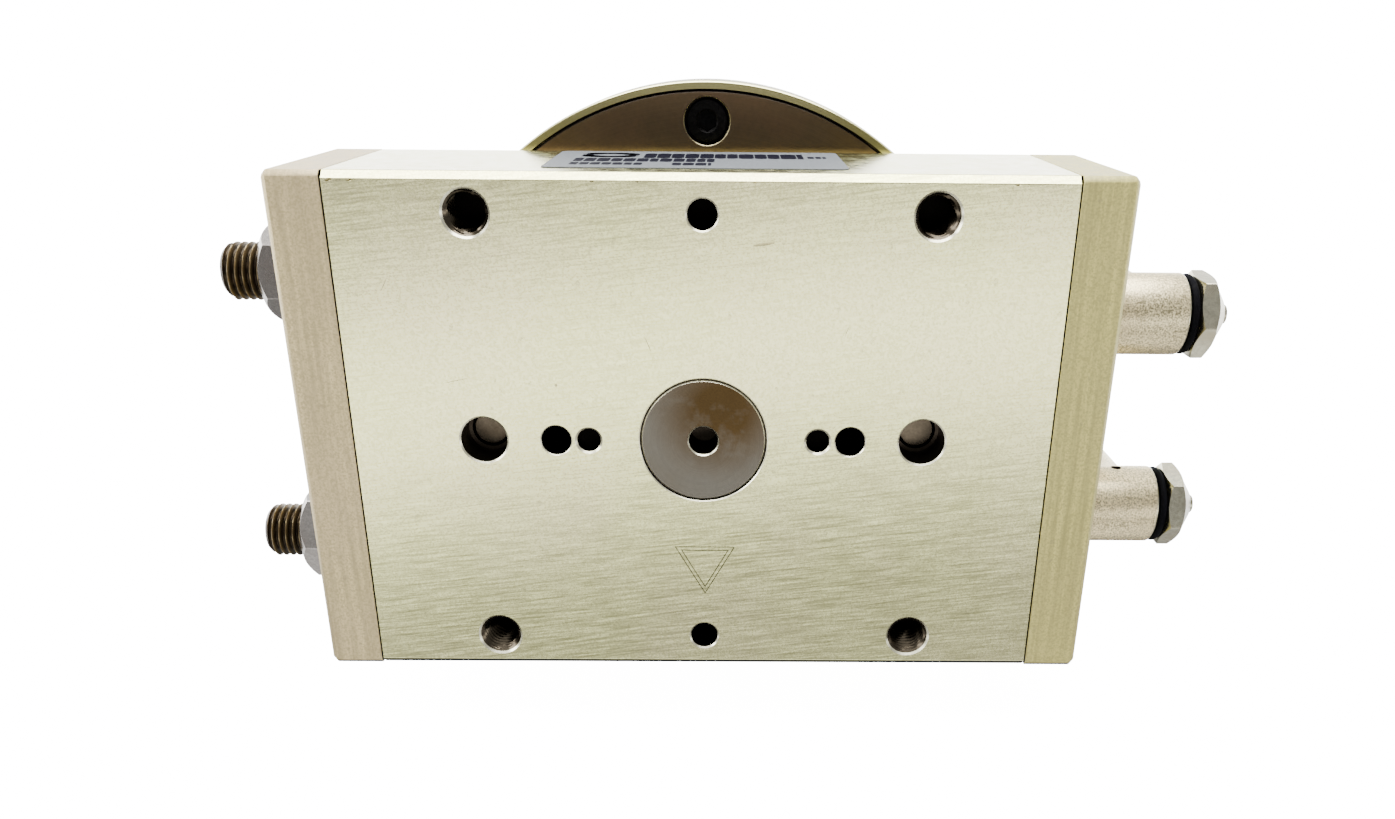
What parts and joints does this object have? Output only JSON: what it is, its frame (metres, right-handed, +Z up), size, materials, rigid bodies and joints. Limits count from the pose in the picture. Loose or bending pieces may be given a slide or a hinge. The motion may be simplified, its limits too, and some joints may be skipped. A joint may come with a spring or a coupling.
{
  "type": "rotary pneumatic actuator",
  "caption": "Pneumatic rotary actuator: a block body whose rack pistons turn a round tooling table, with adjustable stops at one end and swivel flow-control elbows at the other.",
  "frame": {"origin": "centre of the output table's flat outer face, on the output axis", "axes": "+X along the rack pistons, from the stop screws toward the flow controls; +Y along the output axis, out of the tooling face; +Z up across the block"},
  "size_m": [0.2062, 0.0594, 0.1298],
  "materials": {
    "body_aluminium": "clear anodised, brushed",
    "stop_plate_aluminium": "clear anodised, brushed, faintly pink",
    "port_plate_aluminium": "clear anodised, brushed, faintly olive",
    "table_aluminium": "turned, olive-gold conversion coat",
    "flange_steel": "dark oxide",
    "shaft_steel": "ground",
    "hard_steel": "ground",
    "black_steel": "black oxide",
    "stop_screw_steel": "bronze-brown passivated",
    "nut_steel": "bright zinc plated",
    "nickel_brass": "bead-blasted nickel plate",
    "needle_steel": "turned",
    "black_rubber": "matte",
    "seal_rubber": "matte",
    "collet_plastic": "satin",
    "label_film": "printed metallised film"
  },
  "bodies": {
    "housing": {"body_block": "body_aluminium", "port_end_plate": "port_plate_aluminium", "stop_end_plate": "stop_plate_aluminium", "port_end_screw_1": "black_steel", "port_end_screw_2": "black_steel", "port_end_screw_3": "black_steel", "port_end_screw_4": "black_steel", "stop_end_screw_1": "black_steel", "stop_end_screw_2": "black_steel", "stop_end_screw_3": "black_steel", "stop_end_screw_4": "black_steel", "port_end_upper_seal": "black_rubber", "port_end_lower_seal": "black_rubber", "stop_end_upper_seal": "black_rubber", "stop_end_lower_seal": "black_rubber", "left_passage_plug": "hard_steel", "right_passage_plug": "hard_steel", "nameplate": "label_film", "rear_bearing_outer_race": "hard_steel", "front_bearing_outer_race": "hard_steel", "bearing_circlip": "black_steel", "upper_stop_seal_washer": "black_rubber", "upper_stop_nut": "nut_steel", "upper_hollow_bolt": "nickel_brass", "upper_base_ring": "black_rubber", "upper_head_ring": "black_rubber", "lower_stop_seal_washer": "black_rubber", "lower_stop_nut": "nut_steel", "lower_hollow_bolt": "nickel_brass", "lower_base_ring": "black_rubber", "lower_head_ring": "black_rubber"},
    "output": {"pinion_shaft": "shaft_steel", "rear_bearing_inner_race": "hard_steel", "front_bearing_inner_race": "hard_steel", "output_flange": "flange_steel", "tooling_table": "table_aluminium", "flange_centre_screw": "black_steel", "drive_pin_1": "hard_steel", "drive_pin_2": "hard_steel", "table_screw_1": "black_steel", "table_screw_2": "black_steel", "table_screw_3": "black_steel", "table_screw_4": "black_steel"},
    "bearing_ball_sets": {"rear_bearing_balls": "hard_steel", "front_bearing_balls": "hard_steel"},
    "upper_rack": {"upper_rack_piston": "hard_steel", "upper_piston_seal_stop_end": "seal_rubber", "upper_piston_seal_port_end": "seal_rubber"},
    "lower_rack": {"lower_rack_piston": "hard_steel", "lower_piston_seal_stop_end": "seal_rubber", "lower_piston_seal_port_end": "seal_rubber"},
    "upper_stop": {"upper_stop_screw": "stop_screw_steel"},
    "upper_elbow": {"upper_elbow_body": "nickel_brass"},
    "upper_collet": {"upper_release_collet": "collet_plastic"},
    "upper_needle_screw": {"upper_needle": "needle_steel"},
    "lower_stop": {"lower_stop_screw": "stop_screw_steel"},
    "lower_elbow": {"lower_elbow_body": "nickel_brass"},
    "lower_collet": {"lower_release_collet": "collet_plastic"},
    "lower_needle_screw": {"lower_needle": "needle_steel"}
  },
  "joints": [
    {"name": "output_turn", "type": "hinge", "parent": "housing", "child": "output", "pos_m": [0, -0.0372, 0], "axis": [0, 1, 0], "range_deg": [-90, 90]},
    {"name": "ball_set_turn", "type": "hinge", "parent": "housing", "child": "bearing_ball_sets", "pos_m": [0, -0.0372, 0], "axis": [0, 1, 0], "range_deg": [-42, 42]},
    {"name": "upper_rack_slide", "type": "slide", "parent": "housing", "child": "upper_rack", "axis": [1, 0, 0], "range_m": [-0.0237, 0.0237]},
    {"name": "lower_rack_slide", "type": "slide", "parent": "housing", "child": "lower_rack", "axis": [1, 0, 0], "range_m": [-0.0237, 0.0237]},
    {"name": "upper_stop_adjust", "type": "slide", "parent": "housing", "child": "upper_stop", "axis": [-1, 0, 0], "range_m": [0, 0.0025]},
    {"name": "upper_elbow_swivel", "type": "hinge", "parent": "housing", "child": "upper_elbow", "pos_m": [0.0914, -0.0372, 0.02125], "axis": [1, 0, 0], "range_deg": [-85, 180]},
    {"name": "upper_collet_press", "type": "slide", "parent": "upper_elbow", "child": "upper_collet", "axis": [0, -1, 0], "range_m": [0, 0.0011], "stiffness_N_per_m": 150},
    {"name": "upper_needle_adjust", "type": "slide", "parent": "housing", "child": "upper_needle_screw", "axis": [1, 0, 0], "range_m": [0, 0.002]},
    {"name": "lower_stop_adjust", "type": "slide", "parent": "housing", "child": "lower_stop", "axis": [-1, 0, 0], "range_m": [0, 0.0025]},
    {"name": "lower_elbow_swivel", "type": "hinge", "parent": "housing", "child": "lower_elbow", "pos_m": [0.0914, -0.0372, -0.02125], "axis": [1, 0, 0], "range_deg": [-180, 85]},
    {"name": "lower_collet_press", "type": "slide", "parent": "lower_elbow", "child": "lower_collet", "axis": [0, -1, 0], "range_m": [0, 0.0011], "stiffness_N_per_m": 150},
    {"name": "lower_needle_adjust", "type": "slide", "parent": "housing", "child": "lower_needle_screw", "axis": [1, 0, 0], "range_m": [0, 0.002]}
  ],
  "couplings": [
    {"joint": "ball_set_turn", "follows": "output_turn", "ratio": 0.463},
    {"joint": "upper_rack_slide", "follows": "output_turn", "m_per_rad": 0.015},
    {"joint": "lower_rack_slide", "follows": "output_turn", "m_per_rad": -0.015}
  ]
}
